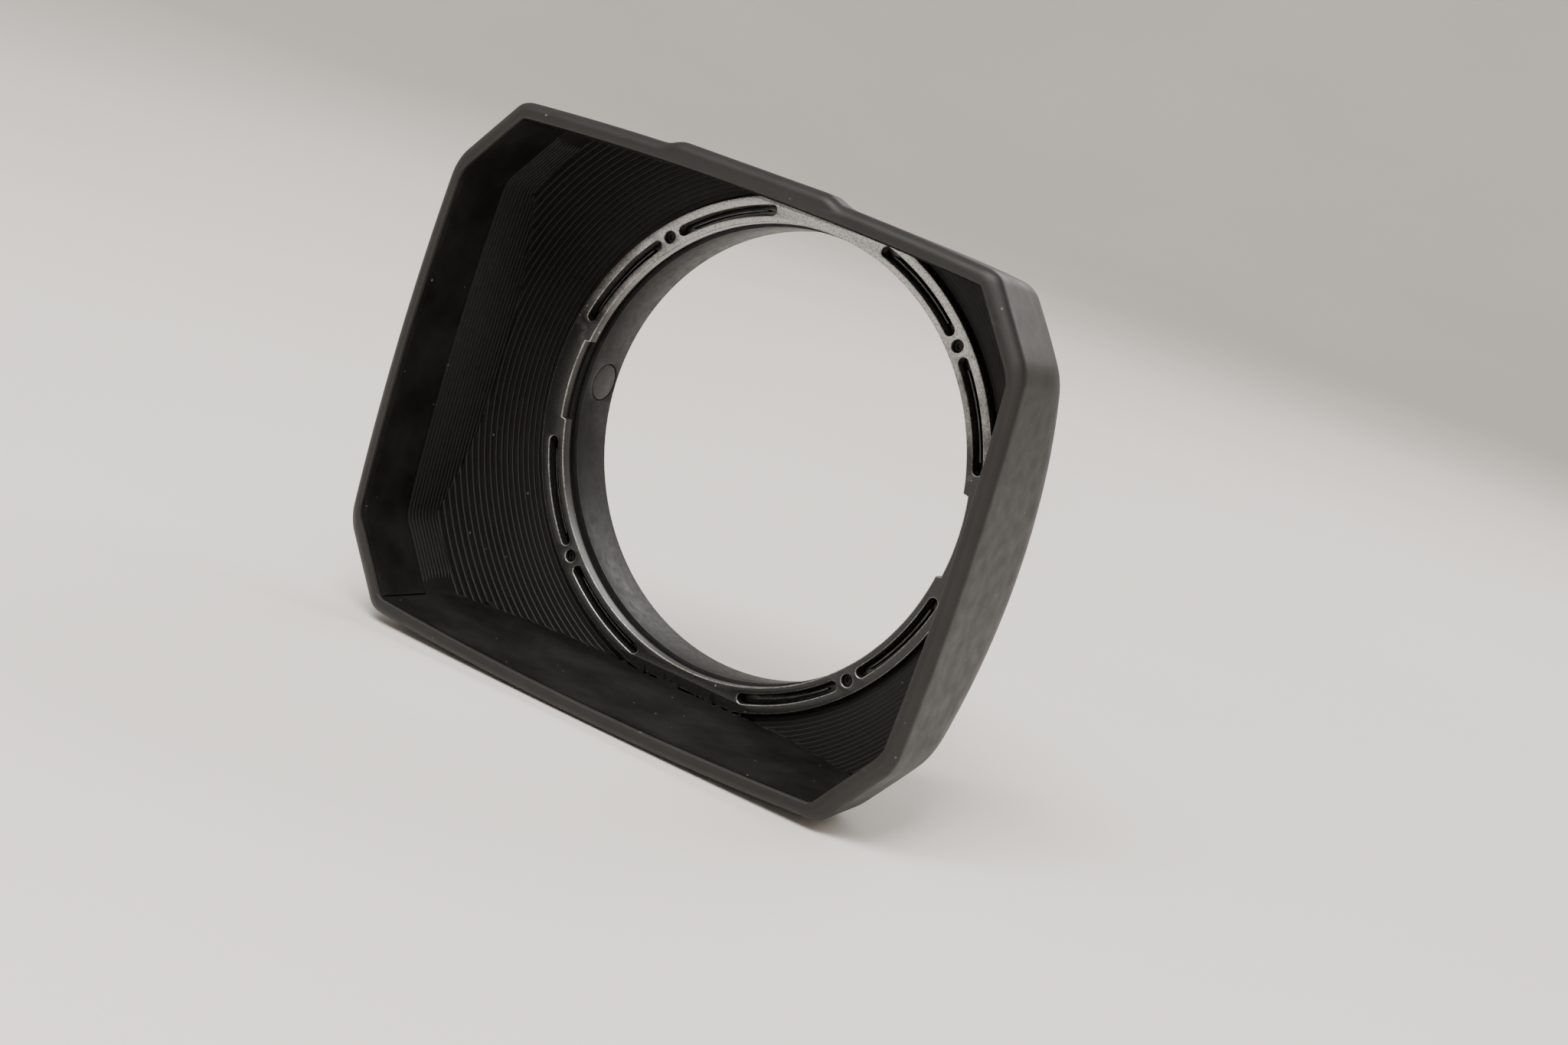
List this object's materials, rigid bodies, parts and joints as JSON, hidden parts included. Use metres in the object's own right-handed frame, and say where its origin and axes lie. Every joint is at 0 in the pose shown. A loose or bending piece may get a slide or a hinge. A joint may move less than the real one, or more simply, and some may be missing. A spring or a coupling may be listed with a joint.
{
  "type": "rectangular lens hood",
  "caption": "Rectangular matte black hood with chamfered corners and a stepped interior round a slotted mount ring, locked to a round lens barrel by a side thumb screw.",
  "frame": {"origin": "centre of the collar's rear mouth, on the lens axis", "axes": "+Y is the way the lens barrel leaves the collar, so the hood's front opening faces -Y; +Z is the top of the hood"},
  "size_m": [0.1618, 0.0635, 0.134],
  "materials": {
    "shell_plastic": "moulded black plastic with a satin rim",
    "flock": "black flock",
    "worn_ring": "black finish worn to bright speckled metal",
    "bright_steel": "bare steel",
    "black_steel": "black oxide",
    "black_aluminium": "black anodised",
    "nylon": "black nylon",
    "bushing_brass": "turned brass",
    "knob_aluminium": "black anodised, knurled",
    "knob_cap_aluminium": "black anodised, turned"
  },
  "bodies": {
    "hood": {"hood_shell": "shell_plastic", "liner_top": "flock", "liner_bottom": "flock", "liner_left": "flock", "liner_right": "flock", "locating_ring": "bright_steel", "mount_ring": "worn_ring", "ring_screws": "black_steel", "clamp_collar": "black_aluminium", "grip_pads": "nylon", "clamp_bushing": "bushing_brass"},
    "shoe": {"pressure_shoe": "nylon"},
    "screw": {"clamp_screw": "bright_steel", "screw_clip": "black_steel", "knob_washer": "nylon", "clamp_knob": "knob_aluminium", "knob_cap": "knob_cap_aluminium", "knob_grub_screw": "black_steel"}
  },
  "joints": [
    {"name": "clamp_travel", "type": "slide", "parent": "hood", "child": "shoe", "axis": [-1, 0, 0], "range_m": [-0.00012, 0.00106]},
    {"name": "knob_turn", "type": "hinge", "parent": "shoe", "child": "screw", "pos_m": [-0.07, -0.0055, 0], "axis": [-1, 0, 0], "range_deg": [-60, 540]}
  ],
  "couplings": [
    {"joint": "clamp_travel", "follows": "knob_turn", "m_per_rad": 0.00011141}
  ]
}
